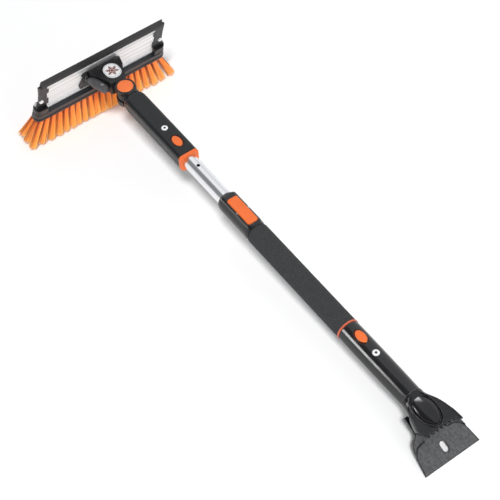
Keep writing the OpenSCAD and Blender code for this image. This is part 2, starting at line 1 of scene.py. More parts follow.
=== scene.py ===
"""Looks of a telescopic snow brush with a squeegee panel, a pivoting head and an ice scraper.

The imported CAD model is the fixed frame. Its turned, drilled and extruded parts keep their shape and get
bevels and materials. The bristles, the foam, the moulded shells, the buttons, the lock and the scraper are
meshes built here. X runs along the pole from the head's pivot to the scraper, and Z is the side of the
buttons. Blender works in metres. Shapes are worked out in millimetres and scaled when a mesh is made.
"""
import json
import math
import random

import bmesh
import bpy
from mathutils import Matrix, Vector, noise


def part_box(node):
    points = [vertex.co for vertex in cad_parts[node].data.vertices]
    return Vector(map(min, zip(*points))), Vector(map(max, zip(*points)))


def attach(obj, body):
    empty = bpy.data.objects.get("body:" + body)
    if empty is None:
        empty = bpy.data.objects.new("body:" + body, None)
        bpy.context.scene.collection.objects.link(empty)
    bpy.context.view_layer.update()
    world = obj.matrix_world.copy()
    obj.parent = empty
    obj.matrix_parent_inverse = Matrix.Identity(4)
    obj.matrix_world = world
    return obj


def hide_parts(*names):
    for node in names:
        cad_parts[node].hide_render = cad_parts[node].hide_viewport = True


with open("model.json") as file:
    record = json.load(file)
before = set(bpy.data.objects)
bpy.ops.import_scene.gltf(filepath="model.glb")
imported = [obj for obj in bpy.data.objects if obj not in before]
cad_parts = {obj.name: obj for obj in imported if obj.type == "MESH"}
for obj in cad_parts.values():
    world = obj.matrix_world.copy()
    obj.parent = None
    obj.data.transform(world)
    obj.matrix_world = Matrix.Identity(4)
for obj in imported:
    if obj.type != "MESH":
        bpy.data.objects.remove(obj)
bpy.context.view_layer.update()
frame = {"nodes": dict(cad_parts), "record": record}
NODES = frame["nodes"]
MM = 0.001


# ---- Places taken from the frame, in millimetres ----

def box(node):
    """Lowest and highest corner of a CAD node."""
    lo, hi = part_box(node)
    return lo / MM, hi / MM


def middle(node):
    """Middle of a CAD node's box."""
    lo, hi = box(node)
    return (lo + hi) / 2


def mount(name):
    """A mount of the record, with its place in metres and its axis."""
    return next(m for m in frame["record"]["mounts"] if m["name"] == name)


def along_x(node):
    """Where a CAD node starts and ends along the pole."""
    lo, hi = box(node)
    return lo.x, hi.x


UPPER = along_x("upper_shell_top")
LOWER = along_x("lower_shell_top")

# Sizes of the CAD design that no box or mount states.
HEAD_LEAN = math.radians(17)    # how far the brush head leans back
PANEL_T = 2.0                   # thickness of the squeegee panel
BASE_H = 18.8                   # height of the brush base along the panel
BASE_HALF_DEPTH = 11.8          # half its size from front to back
BRACKET_FRONT_N = 4.0           # front face of an end bracket
BRACKET_SCREW_S = -11.0         # height of the screw in that face
BRACKET_SCREW_IN = 8.4          # the same screw, in from the edge of the outermost screw
WALL_R = 16.6                   # inside of the handle shells
POLE_BORE_R = 16.06             # bore that fits over the outer tube
UPPER_FLAT = 18.8               # height of the flat tops of the handles
LOWER_FLAT = 20.2
BLADE_SLOT_U = 27.0             # from the blade's origin to its hanging slot


def head_origin():
    """Where the back of the leaning panel crosses the axis of the pole."""
    lo, _ = box("squeegee_panel")
    foot_z = lo.z + PANEL_T * math.sin(HEAD_LEAN)
    return Vector((lo.x - foot_z * math.tan(HEAD_LEAN), 0, 0))


HEAD_AT = head_origin()
HEAD_N = Vector((math.cos(HEAD_LEAN), 0, -math.sin(HEAD_LEAN)))
HEAD_S = Vector((math.sin(HEAD_LEAN), 0, math.cos(HEAD_LEAN)))


def head_point(n, y, s):
    """n forward from the panel's back, s upward along the panel."""
    return HEAD_AT + HEAD_N * n + HEAD_S * s + Vector((0, y, 0))


# ---- Small maths ----

def smooth(a, b, x):
    """Eased step from 0 at a to 1 at b."""
    t = min(1.0, max(0.0, (x - a) / (b - a)))
    return t * t * (3 - 2 * t)


def lerp(a, b, t):
    """Value a share t of the way from a to b."""
    return a + (b - a) * t


def soft_min(a, b, k):
    """Smaller of two values, rounded over a width k where they cross."""
    h = max(k - abs(a - b), 0.0) / k
    return min(a, b) - h * h * k / 4


def soft_max(a, b, k):
    """Larger of two values, rounded over a width k where they cross."""
    return -soft_min(-a, -b, k)


def curve(knots, x):
    """Smooth curve through (x, value) knots."""
    if x <= knots[0][0]:
        return knots[0][1]
    for i in range(len(knots) - 1):
        (x0, y0), (x1, y1) = knots[i], knots[i + 1]
        if x <= x1:
            before = knots[i - 1] if i else knots[i]
            after = knots[i + 2] if i + 2 < len(knots) else knots[i + 1]
            m0 = (y1 - before[1]) / (x1 - before[0]) * (x1 - x0)
            m1 = (after[1] - y0) / (after[0] - x0) * (x1 - x0)
            t = (x - x0) / (x1 - x0)
            return ((2 * t ** 3 - 3 * t ** 2 + 1) * y0 + (t ** 3 - 2 * t ** 2 + t) * m0
                    + (3 * t ** 2 - 2 * t ** 3) * y1 + (t ** 3 - t ** 2) * m1)
    return knots[-1][1]


# ---- Materials ----

class Graph:
    """Builds a node material with few words."""

    def __init__(self, name):
        self.material = bpy.data.materials.new(name)
        self.material.use_nodes = True
        self.tree = self.material.node_tree
        self.tree.nodes.clear()
        self.shader = self.node("ShaderNodeBsdfPrincipled")
        output = self.node("ShaderNodeOutputMaterial")
        self.tree.links.new(self.shader.outputs["BSDF"], output.inputs["Surface"])
        self.coords = self.node("ShaderNodeTexCoord").outputs["Object"]

    def node(self, kind, **settings):
        made = self.tree.nodes.new(kind)
        for key, value in settings.items():
            setattr(made, key, value)
        return made

    def put(self, socket, value):
        """Links a socket or sets a plain value."""
        if isinstance(value, bpy.types.NodeSocket):
            self.tree.links.new(value, socket)
        elif isinstance(value, tuple) and len(value) == 3 and socket.type == "RGBA":
            socket.default_value = (*value, 1)
        else:
            socket.default_value = value

    def stretched(self, scale):
        mapping = self.node("ShaderNodeMapping")
        self.put(mapping.inputs["Vector"], self.coords)
        mapping.inputs["Scale"].default_value = scale
        return mapping.outputs["Vector"]

    def grain(self, scale, detail=3.0, stretch=None):
        """Noise with about scale lumps a metre."""
        made = self.node("ShaderNodeTexNoise")
        self.put(made.inputs["Vector"], self.stretched(stretch) if stretch else self.coords)
        made.inputs["Scale"].default_value = scale
        made.inputs["Detail"].default_value = detail
        return made.outputs["Fac"]

    def cells(self, scale, stretch=None):
        made = self.node("ShaderNodeTexVoronoi")
        self.put(made.inputs["Vector"], self.stretched(stretch) if stretch else self.coords)
        made.inputs["Scale"].default_value = scale
        return made.outputs["Distance"]

    def span(self, value, low, high, from_low=0.3, from_high=0.7):
        made = self.node("ShaderNodeMapRange")
        self.put(made.inputs["Value"], value)
        made.inputs["From Min"].default_value = from_low
        made.inputs["From Max"].default_value = from_high
        made.inputs["To Min"].default_value = low
        made.inputs["To Max"].default_value = high
        return made.outputs["Result"]

    def mix(self, factor, a, b, mode="MIX"):
        made = self.node("ShaderNodeMix", data_type="RGBA", blend_type=mode)
        self.put(made.inputs["Factor"], factor)
        self.put(made.inputs["A"], a)
        self.put(made.inputs["B"], b)
        return made.outputs["Result"]

    def bump(self, height, distance, under=None):
        """Surface relief, with distance its depth in metres."""
        made = self.node("ShaderNodeBump")
        made.inputs["Strength"].default_value = 1.0
        made.inputs["Distance"].default_value = distance
        self.put(made.inputs["Height"], height)
        if under is not None:
            self.put(made.inputs["Normal"], under)
        return made.outputs["Normal"]

    def edges(self, radius):
        """Mask that is 1 on the edges of a part and 0 across its faces."""
        rounded = self.node("ShaderNodeBevel", samples=4)
        rounded.inputs["Radius"].default_value = radius
        flat = self.node("ShaderNodeNewGeometry").outputs["Normal"]
        dot = self.node("ShaderNodeVectorMath", operation="DOT_PRODUCT")
        self.put(dot.inputs[0], rounded.outputs["Normal"])
        self.put(dot.inputs[1], flat)
        return self.span(dot.outputs["Value"], 1.0, 0.0, 0.82, 0.995)

    def finish(self, **inputs):
        for key, value in inputs.items():
            self.put(self.shader.inputs[key.replace("_", " ")], value)
        return self.material


def moulded(name, colour, roughness, grain_depth=0.00002, grain_scale=1600, wear_and_highlight=None, coat=0.0,
            shine=0.5):
    """Moulded plastic: fine spark-eroded grain, a slow drift of tone, and paler edges that are partly wear
    and partly a painted highlight.
    """
    g = Graph(name)
    darker = tuple(c * 0.78 for c in colour)
    tone = g.mix(g.grain(35, 2), darker, colour)
    wear_and_highlight_tone = wear_and_highlight or tuple(min(1.0, c * 1.5 + 0.02) for c in colour)
    # Paler edges: partly wear, partly a painted highlight where the edges catch the light.
    tone = g.mix(g.span(g.edges(0.0007), 0.0, 0.55, 0.0, 1.0), tone, wear_and_highlight_tone)
    rough = g.span(g.grain(90, 3), roughness - 0.05, roughness + 0.07)
    relief = g.bump(g.grain(grain_scale, 2), grain_depth)
    return g.finish(Base_Color=tone, Roughness=rough, Normal=relief, Coat_Weight=coat,
                    Coat_Roughness=0.12, Specular_IOR_Level=shine)


def brushed(name, colour, roughness, along, depth=0.000012, metallic=1.0):
    """Brushed or drawn metal. along stretches the scratches: the smallest number is their direction."""
    g = Graph(name)
    lines = g.grain(900, 2, along)
    tone = g.mix(lines, tuple(c * 0.88 for c in colour), colour)
    rough = g.span(lines, roughness - 0.06, roughness + 0.06)
    relief = g.bump(lines, depth)
    return g.finish(Base_Color=tone, Metallic=metallic, Roughness=rough, Normal=relief)


def bristle_material():
    """Filaments: deep orange at the root, paler and yellower towards the tip, with painted shade at a
    tuft's rim where the tufts shade each other, and a faint painted glow.
    """
    g = Graph("bristle_filament")
    along = g.node("ShaderNodeAttribute", attribute_name="along").outputs["Fac"]
    tone = g.node("ShaderNodeAttribute", attribute_name="tone").outputs["Fac"]
    ramp = g.node("ShaderNodeValToRGB")
    root, tip = ramp.color_ramp.elements
    root.color = (0.85, 0.16, 0.03, 1)
    tip.color = (1.0, 0.54, 0.12, 1)
    ramp.color_ramp.elements.new(0.45).color = (1.0, 0.33, 0.055, 1)
    g.put(ramp.inputs["Fac"], along)
    colour = g.mix(g.span(tone, 0.0, 0.5, 0.0, 1.0), ramp.outputs["Color"], (1.0, 0.44, 0.10))
    edge = g.node("ShaderNodeAttribute", attribute_name="edge").outputs["Fac"]
    # Painted shade at the sides of each tuft, where the tufts shade each other.
    colour = g.mix(edge, colour, (0.20, 0.014, 0.004))
    # Faint emission in the filament colour: a painted glow that lifts the shaded filaments.
    return g.finish(Base_Color=colour, Roughness=0.42, Subsurface_Weight=0.12,
                    Subsurface_Radius=(0.004, 0.0015, 0.0006), Sheen_Weight=0.1,
                    Emission_Color=colour, Emission_Strength=0.08)


def foam_material():
    """Closed-cell foam sleeve: small round cells, pale dust in some of them."""
    g = Graph("foam_rubber")
    cells = g.cells(620)
    fine = g.grain(1500, 3)
    speck = g.span(g.grain(700, 2), 0.0, 1.0, 0.5, 0.75)
    tone = g.mix(g.span(cells, 0.0, 1.0, 0.0, 0.6), (0.015, 0.016, 0.017), (0.045, 0.046, 0.047))
    tone = g.mix(g.span(speck, 0.0, 0.4, 0.0, 1.0), tone, (0.10, 0.105, 0.11))
    relief = g.bump(cells, 0.00022, g.bump(fine, 0.00006))
    return g.finish(Base_Color=tone, Roughness=0.85, Normal=relief, Specular_IOR_Level=0.3)


def blade_material():
    """Filled polymer blade with a mottled, lightly scratched face."""
    g = Graph("blade_polymer")
    mottle = g.grain(230, 5)
    streak = g.grain(260, 3, (1, 7, 1))
    tone = g.mix(g.span(mottle, 0.0, 1.0, 0.36, 0.64), (0.040, 0.041, 0.042), (0.082, 0.083, 0.085))
    tone = g.mix(g.span(streak, 0.0, 0.25), tone, (0.10, 0.10, 0.102))
    tone = g.mix(g.span(g.edges(0.0022), 0.0, 1.0, 0.0, 0.8), tone, (0.006, 0.006, 0.006))
    relief = g.bump(mottle, 0.00009)
    return g.finish(Base_Color=tone, Roughness=0.5, Normal=relief)


def panel_material():
    """Satin anodised sheet, drawn lengthwise, with long faint bands."""
    g = Graph("panel_satin")
    lines = g.grain(900, 2, (1, 0.05, 1))
    bands = g.span(g.grain(230, 2, (0.2, 0.008, 1)), 0.0, 1.0, 0.40, 0.56)
    tone = g.mix(bands, (0.78, 0.78, 0.79), (1.0, 1.0, 1.0))
    tone = g.mix(g.span(lines, 0.0, 0.2), tone, (0.62, 0.62, 0.63))
    rough = g.span(lines, 0.34, 0.46)
    return g.finish(Base_Color=tone, Metallic=0.35, Roughness=rough, Normal=g.bump(lines, 0.000012))


def rubber_material():
    g = Graph("lip_rubber")
    fine = g.grain(1800, 2)
    drawn = g.grain(300, 2, (1, 0.06, 1))
    tone = g.mix(drawn, (0.010, 0.010, 0.011), (0.022, 0.022, 0.024))
    # Paler edges: partly wear, partly a painted highlight.
    tone = g.mix(g.span(g.edges(0.0008), 0.0, 0.6, 0.0, 1.0), tone, (0.09, 0.09, 0.094))
    relief = g.bump(fine, 0.00003)
    return g.finish(Base_Color=tone, Roughness=0.62, Normal=relief)


BLACK = moulded("satin_black", (0.009, 0.009, 0.010), 0.40, wear_and_highlight=(0.05, 0.05, 0.052))
BASE_BLACK = moulded("base_black", (0.016, 0.018, 0.020), 0.36, wear_and_highlight=(0.08, 0.08, 0.084))
HANDLE = moulded("handle_satin", (0.008, 0.009, 0.010), 0.36, 0.00003, 1300, wear_and_highlight=(0.08, 0.08, 0.082),
                 shine=0.4)
# The glossy blacks get a bright edge tone: a painted highlight along their creases, rims and seams.
GLOSS = moulded("handle_gloss", (0.004, 0.004, 0.005), 0.20, 0.00001, 1300, wear_and_highlight=(0.34, 0.34, 0.345),
                coat=0.2)
DECK_BLACK = moulded("deck_gloss", (0.004, 0.004, 0.005), 0.20, 0.00001, 1300, wear_and_highlight=(0.30, 0.30, 0.305),
                     shine=0.45)
# Dark red-brown painted shade for the recess walls around a button.
RECESS_SHADE = moulded("recess_painted_shade", (0.030, 0.006, 0.004), 0.5, wear_and_highlight=(0.03, 0.006, 0.004))
ARM_GREY = moulded("arm_grey", (0.070, 0.069, 0.073), 0.38, wear_and_highlight=(0.22, 0.22, 0.22))
INNER = moulded("inner_grey", (0.12, 0.12, 0.13), 0.5)
ORANGE = moulded("orange_moulded", (0.88, 0.17, 0.035), 0.38, wear_and_highlight=(1.0, 0.32, 0.12))
SOFT_ORANGE = moulded("orange_soft", (0.90, 0.20, 0.055), 0.5, wear_and_highlight=(1.0, 0.36, 0.18))
# Grip ring: the orange darkened as painted shade, with paler edges as a painted highlight.
RING_SHADED_ORANGE = moulded("orange_ring_painted_shade", (0.62, 0.13, 0.07), 0.42, wear_and_highlight=(0.9, 0.30, 0.16))
WHITE_FILM = moulded("badge_white", (0.86, 0.86, 0.87), 0.4, 0.000006)
INK_BROWN = moulded("badge_brown", (0.17, 0.045, 0.025), 0.45, 0.000006)
INK_GREY = moulded("badge_grey", (0.33, 0.34, 0.36), 0.45, 0.000006)
PANEL = panel_material()
TUBE = brushed("tube_drawn", (0.90, 0.905, 0.92), 0.20, (0.04, 1, 1), 0.000006)
STEEL = brushed("plated_steel", (0.78, 0.78, 0.80), 0.25, (1, 1, 1))
BRIGHT = brushed("screw_bright", (0.97, 0.97, 0.97), 0.34, (1, 1, 1), metallic=0.5)
BRISTLE = bristle_material()
FOAM = foam_material()
BLADE = blade_material()
RUBBER = rubber_material()

# ---- Outlines, rings and meshes ----

def ellipse(half_x, half_y, steps=64):
    """Outline of an oval, centred on the origin."""
    return [(half_x * math.cos(2 * math.pi * k / steps), half_y * math.sin(2 * math.pi * k / steps))
            for k in range(steps)]


def circle(radius, steps):
    return ellipse(radius, radius, steps)


def round_rect(half_x, half_y, radius, steps=8):
    """Outline of a rectangle with round corners, centred on the origin."""
    points = []
    for corner, (sx, sy) in enumerate([(1, 1), (-1, 1), (-1, -1), (1, -1)]):
        for k in range(steps + 1):
            a = math.radians(90 * (corner + k / steps))
            points.append((sx * (half_x - radius) + radius * math.cos(a),
                           sy * (half_y - radius) + radius * math.sin(a)))
    return points


def level_ring(outline, z, x0=0.0, y0=0.0):
    """An outline laid level at a height, with its origin at (x0, y0)."""
    return [(x0 + x, y0 + y, z) for x, y in outline]


def pole_ring(x, radius, steps):
    """Circle around the axis of the pole."""
    return [(x, y, z) for y, z in circle(radius, steps)]


def make(name, points, faces, material, sharp=35):
    """Mesh object from points in millimetres."""
    mesh = bpy.data.meshes.new(name)
    mesh.from_pydata([Vector(p) * MM for p in points], [], faces)
    mesh.validate()
    mesh.materials.append(material)
    obj = link(name, mesh)
    outward(obj)
    shade(obj, sharp)
    return obj


def link(name, data):
    """New object in the scene."""
    obj = bpy.data.objects.new(name, data)
    bpy.context.scene.collection.objects.link(obj)
    return obj


def outward(obj):
    """Turns every face to look out."""
    mesh = bmesh.new()
    mesh.from_mesh(obj.data)
    bmesh.ops.recalc_face_normals(mesh, faces=mesh.faces)
    mesh.to_mesh(obj.data)
    mesh.free()


def shade(obj, sharp):
    """Smooth shading, with edges sharper than an angle in degrees kept."""
    obj.data.shade_smooth()
    obj.data.set_sharp_from_angle(angle=math.radians(sharp))


def skin(rings, closed=False):
    """Points of the rings, and quads between each ring and the next. closed joins the last to the first."""
    count, total = len(rings[0]), len(rings)
    points = [p for ring in rings for p in ring]
    faces = [(i * count + k, i * count + (k + 1) % count,
              ((i + 1) % total) * count + (k + 1) % count, ((i + 1) % total) * count + k)
             for i in range(total if closed else total - 1) for k in range(count)]
    return points, faces


def loft(name, rings, material, sharp=35, closed=False):
    """Skin over rings of the same number of points, with a face over both ends unless it is closed."""
    points, faces = skin(rings, closed)
    if not closed:
        count, total = len(rings[0]), len(points)
        faces += [tuple(range(count)), tuple(range(total - 1, total - count - 1, -1))]
    return make(name, points, faces, material, sharp)


def combine(obj, tool, operation, sharp=35):
    """Cuts or joins obj with tool, which is used up."""
    step = obj.modifiers.new("combine", "BOOLEAN")
    step.operation = operation
    step.solver = "EXACT"
    step.object = tool
    result = bpy.data.meshes.new_from_object(obj.evaluated_get(bpy.context.evaluated_depsgraph_get()))
    obj.modifiers.clear()
    obj.data = result
    bpy.data.objects.remove(tool)
    shade(obj, sharp)


def cut(obj, rings, sharp=35):
    """Takes a loft over the rings away from obj."""
    combine(obj, loft("cutter", rings, BLACK), "DIFFERENCE", sharp)


def place(obj, body, slot, *replaced):
    """Makes a piece ride with its body, and stand for the CAD nodes it replaces."""
    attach(obj, body)
    if replaced:
        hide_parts(*replaced)


def paint(obj, material, inside):
    """Gives a second material to the faces whose middle, in millimetres, passes the test."""
    obj.data.materials.append(material)
    for face in obj.data.polygons:
        if inside(face.center / MM):
            face.material_index = 1


def pad(name, centre, half_x, half_y, radius, low, high, material, edge=1.0, crown=0.5):
    """Push pad with a rounded edge and a crowned top. It is an oval if it has no corner radius."""
    def outline(inset):
        if radius is None:
            return ellipse(half_x - inset, half_y - inset)
        return round_rect(half_x - inset, half_y - inset, max(0.3, radius - inset))

    wall_top = high - crown - edge
    profile = [(0.0, low), (0.0, wall_top)]
    for a in (18, 36, 54, 72, 90):
        turn = math.radians(a)
        profile.append((edge * (1 - math.cos(turn)), wall_top + edge * math.sin(turn)))
    rings = [level_ring(outline(inset), z, *centre) for inset, z in profile]
    for share in (0.93, 0.8, 0.62, 0.42, 0.2, 0.05):
        shrunk = [(x * share, y * share) for x, y in outline(edge)]
        rings.append(level_ring(shrunk, high - crown * share ** 2, *centre))
    return loft(name, rings, material)


def bevelled(node, material, width=0.0006, segments=3, angle=30):
    """Keeps a CAD node's shape, rounds its edges and gives it its material."""
    obj = NODES[node]
    obj.data.materials.clear()
    obj.data.materials.append(material)
    if width:
        step = obj.modifiers.new("edge", "BEVEL")
        step.width = width
        step.segments = segments
        step.limit_method = "ANGLE"
        step.angle_limit = math.radians(angle)
        step.harden_normals = True


# ---- Brush ----

def build_bristles():
    """Three rows of tufts that lean a little, and fan out towards the ends of the head."""
    random.seed(11)
    columns, half, row_pitch = 21, 133.0, 8
    row_lean, lean_drift = 11, -7.5             # degrees: front and back rows, and all rows
    end_fan, fan_drift = 25, -4.6               # degrees: at the ends of the head, and everywhere
    jitter = 1.2
    root_s = head_s_of_base_bottom() + 1.0
    leaning_rows, tip_extra = 9.4, 1.8
    lo, hi = box("bristles")
    length = hi.z - lo.z - leaning_rows + tip_extra
    brush = {"points": [], "faces": [], "along": [], "tone": [], "edge": []}
    for column in range(columns):
        for row in (-1, 0, 1):
            y = lerp(-half, half, column / (columns - 1))
            lean = math.radians(row_lean * row + lean_drift + random.uniform(-jitter, jitter))
            fan = math.radians(end_fan * (y / half) ** 3 + fan_drift + random.uniform(-jitter, jitter))
            down = Vector((math.tan(lean), math.tan(fan), -1)).normalized()
            add_tuft(brush, head_point(row_pitch * row, y, root_s), down, length / -down.z)
    obj = make("bristle_tufts", brush["points"], brush["faces"], BRISTLE, 80)
    # The edge attribute holds the painted shade at the sides of each tuft.
    for name in ("along", "tone", "edge"):
        obj.data.attributes.new(name, "FLOAT", "POINT").data.foreach_set("value", brush[name])
    place(obj, "head", "bristle", "bristles")


def add_tuft(brush, root, down, reach):
    """Bundle of filaments that leaves the base tightly and opens towards the tip."""
    filaments, steps, sides = 140, 6, 3
    root_r, tip_r, squash = 5.3, 8.6, 0.8       # radius of the bundle, and its narrowing front to back
    thick, thinning = 0.34, 0.3                 # radius of a filament, and how much it thins to its tip
    shorter_outside, shortest, longest = 0.035, -0.035, 0.02
    sway_by = 1.6
    # Painted shade on the filaments at a tuft's sides, weaker towards the tips.
    tuft_shade_from, tuft_shade_to, tuft_shade_fade = 0.58, 0.86, 0.45
    side = Vector((1, 0, down.x / -down.z)).normalized()
    across = down.cross(side).normalized()
    tuft_tone = random.uniform(0, 1)
    for _ in range(filaments):
        a = random.uniform(0, 2 * math.pi)
        rho = math.sqrt(random.uniform(0, 1))
        out = side * math.cos(a) * squash + across * math.sin(a)
        long = reach * (1 - shorter_outside * rho ** 2 + random.uniform(shortest, longest))
        sway = side * random.uniform(-sway_by, sway_by) + across * random.uniform(-sway_by, sway_by)
        tone = min(1.0, max(0.0, 0.6 * tuft_tone + 0.4 * random.uniform(0, 1)))
        # How much painted shade this filament gets at the tuft's side.
        rim = smooth(tuft_shade_from, tuft_shade_to, abs(rho * math.sin(a)))
        rings = []
        for i in range(steps + 1):
            t = i / steps
            spread = lerp(root_r, tip_r, t ** 1.5) * rho
            centre = root + down * (long * t) + out * spread + sway * (t ** 2)
            radius = thick * (1 - thinning * t ** 3)
            ring = []
            for k in range(sides):
                b = 2 * math.pi * k / sides + a
                ring.append(centre + (side * math.cos(b) + across * math.sin(b)) * radius)
            rings.append(ring)
            brush["along"] += [t] * sides
            brush["tone"] += [tone] * sides
            brush["edge"] += [rim * (1 - tuft_shade_fade * t)] * sides
        first = len(brush["points"])
        points, faces = skin(rings)
        faces += [tuple(range(sides)), tuple(range(steps * sides, (steps + 1) * sides))]
        brush["points"] += points
        brush["faces"] += [tuple(first + i for i in face) for face in faces]


def head_s_of_base_bottom():
    """Height along the panel of the underside of the brush base."""
    _, hi = box("brush_base")
    top_back = hi.z / math.cos(HEAD_LEAN)
    return top_back - BASE_HALF_DEPTH * math.tan(HEAD_LEAN) - BASE_H


# ---- Hub ----

def build_hub_arm():
    """Smooth grey cover over the rounded arm on one side of the hub: a hull around three balls."""
    rows, around = 20, 36
    balls = (((-63, -35.5, 0.5), 7.6), ((-52, -33, 2), 9.6), ((-32, -26.5, 1), 8.6))
    screw_at, well_r, well_floor = (-37, -27.5), 4.0, 7.6
    shell = bmesh.new()
    for centre, radius in balls:
        for i in range(1, rows):
            tilt = math.pi * i / rows
            for x, y, z in level_ring(circle(math.sin(tilt), around), math.cos(tilt)):
                shell.verts.new((Vector(centre) + Vector((x, y, z)) * radius) * MM)
    bmesh.ops.convex_hull(shell, input=shell.verts)
    loose = [v for v in shell.verts if not v.link_faces]
    bmesh.ops.delete(shell, geom=loose, context="VERTS")
    mesh = bpy.data.meshes.new("hub_arm_cover")
    shell.to_mesh(mesh)
    shell.free()
    mesh.materials.append(ARM_GREY)
    obj = link("hub_arm_cover", mesh)
    outward(obj)
    cut(obj, [level_ring(circle(well_r, 32), z, *screw_at) for z in (well_floor, 30)], 40)
    place(obj, "head", "black_plastic")


def build_bracket_domes():
    """Bright button heads over the two front screws of the end brackets."""
    profile = ((4.4, 0.1), (4.5, 0.8), (4.1, 1.9), (3.2, 2.8), (1.9, 3.4), (0.2, 3.6))
    lo, hi = box("bracket_screws")
    for name, edge in (("bracket_dome_left", lo.y), ("bracket_dome_right", hi.y)):
        y = edge - math.copysign(BRACKET_SCREW_IN, edge)
        rings = [[head_point(BRACKET_FRONT_N + lift, y + b, BRACKET_SCREW_S + a)
                  for a, b in circle(radius, 32)] for radius, lift in profile]
        place(loft(name, rings, BRIGHT), "head", "steel")


# ---- Handles ----

def half_shell(name, places, radius, upper, material):
    """Half of a two-part handle. radius(x, angle) is its outside, and WALL_R its inside."""
    seam = 0.12
    bevel, bevel_depth = 0.7, 0.45
    steps = 72
    up = 1 if upper else -1
    rings = []
    for x in places:
        outer, inner = [], []
        for k in range(steps + 1):
            angle = math.pi * k / steps
            r = radius(x, up * angle)
            z = max(seam, r * math.sin(angle))
            near = max(0.0, 1 - (z - seam) / bevel)
            outer.append((x, math.cos(angle) * (r - bevel_depth * near ** 2), up * z))
            inner.append((x, math.cos(angle) * WALL_R, up * max(seam, WALL_R * math.sin(angle))))
        rings.append(outer + inner[::-1])
    points, faces = skin(rings)
    count = len(rings[0])
    for first in (0, len(points) - count):
        last = first + count - 1
        faces += [(first + k, first + k + 1, last - k - 1, last - k) for k in range(steps)]
    return make(name, points, faces, material, 28)


def end_round(x, ends, front, back):
    """How far a long piece is rounded in at x, for a front and a back round of (length, depth)."""
    def drop(inward, length, depth):
        share = max(0.0, 1 - inward / length)
        return depth * (1 - math.sqrt(max(0.0, 1 - share ** 2)))

    return max(drop(x - ends[0], *front), drop(ends[1] - x, *back))


def stations(x0, x1, pitch):
    """Places along X, closer together at both ends."""
    near = [0, 0.25, 0.6, 1.1, 1.8, 2.8, 4.0, 5.5]
    far = near[-1]
    between = [x0 + far + pitch * k for k in range(1, int((x1 - x0 - 2 * far) / pitch))]
    return sorted(set([x0 + d for d in near] + between + [x1 - d for d in near]))


def upper_radius(x, angle):
    """Outside of the upper handle: round where it starts, then flat on top with tight corners."""
    x0, x1 = UPPER
    half = curve([(x0, 18.9), (x0 + 8, 19.8), (x0 + 22, 20.2), (x1, 20.1)], x)
    square = smooth(x0 - 2, x0 + 16, x)
    tall, squared = (UPPER_FLAT, 5.5) if angle > 0 else (19.8, 3.0)
    power = lerp(2.2, squared, square)
    wide = (abs(math.cos(angle)) / half) ** power
    high = (abs(math.sin(angle)) / tall) ** power
    return (wide + high) ** (-1 / power) - end_round(x, UPPER, (4.0, 1.9), (0.9, 0.95))


def lower_full(x):
    """Radius of the round bar that the lower handle's facets are cut from."""
    x0, x1 = LOWER
    return curve([(x0, 20.2), (x0 + 20, 20.6), (x1 - 60, 20.6), (x1 - 10, 20.2), (x1, 20.0)], x)


def lower_radius(x, angle):
    """Outside of the lower handle: flat facets along it, with a broad soft ridge down each side."""
    full = lower_full(x)
    drop = end_round(x, LOWER, (1.2, 0.8), (0.01, 0.4))
    if angle <= 0:
        return full - 0.25 - drop
    off = abs(math.degrees(angle) - 90)
    body = full
    for facing, reach in ((0, LOWER_FLAT), (19, 0.970 * full), (42, 0.988 * full), (66, 0.966 * full)):
        slant = math.cos(math.radians(off - facing))
        if slant > 0.3:
            body = soft_min(body, reach / slant, 0.9)
    return body - drop


def cut_handle(obj, button_x, button, screw_x, flat):
    """Dished recess and opening for the oval button, with painted shade on the recess walls, and the
    screw's counterbore.
    """
    half_x, half_y = button
    dish = [(3.5, 0.6), (2.9, -0.1), (2.5, -0.8), (2.2, -1.5), (0.45, -1.6), (0.4, -6.0)]
    cut(obj, [level_ring(ellipse(half_x + grow, half_y + grow), flat + rise, button_x)
              for grow, rise in dish], 28)
    shade_reach = 3.2
    # Painted shade on the recess walls around the button.
    paint(obj, RECESS_SHADE, lambda p: WALL_R - 2 < p.z < flat - 0.2
          and math.hypot((p.x - button_x) / (half_x + shade_reach), p.y / (half_y + shade_reach)) < 1)
    counterbore = [(7.6, 1.0), (6.9, 0.0), (6.6, -0.4), (6.5, -1.7)]
    cut(obj, [level_ring(circle(radius, 48), flat + rise, screw_x) for radius, rise in counterbore], 28)


def build_handles():
    """Both handles: a top half with a button and a screw in it, and a plain half under it."""
    lo, hi = box("upper_button")
    button = ((hi.x - lo.x) / 2, (hi.y - lo.y) / 2)
    for end, body, ends, radius, flat, material in (
            ("upper", "upper_handle", UPPER, upper_radius, UPPER_FLAT, HANDLE),
            ("lower", "scraper", LOWER, lower_radius, LOWER_FLAT, GLOSS)):
        places = stations(*ends, 3.0)
        top = half_shell(end + "_handle_top", places, radius, True, material)
        cut_handle(top, middle(end + "_button").x, button, middle(end + "_screw").x, flat)
        place(top, body, "handle_black", end + "_shell_top")
        under = half_shell(end + "_handle_under", places, radius, False, material)
        place(under, body, "handle_black", end + "_shell_bottom")


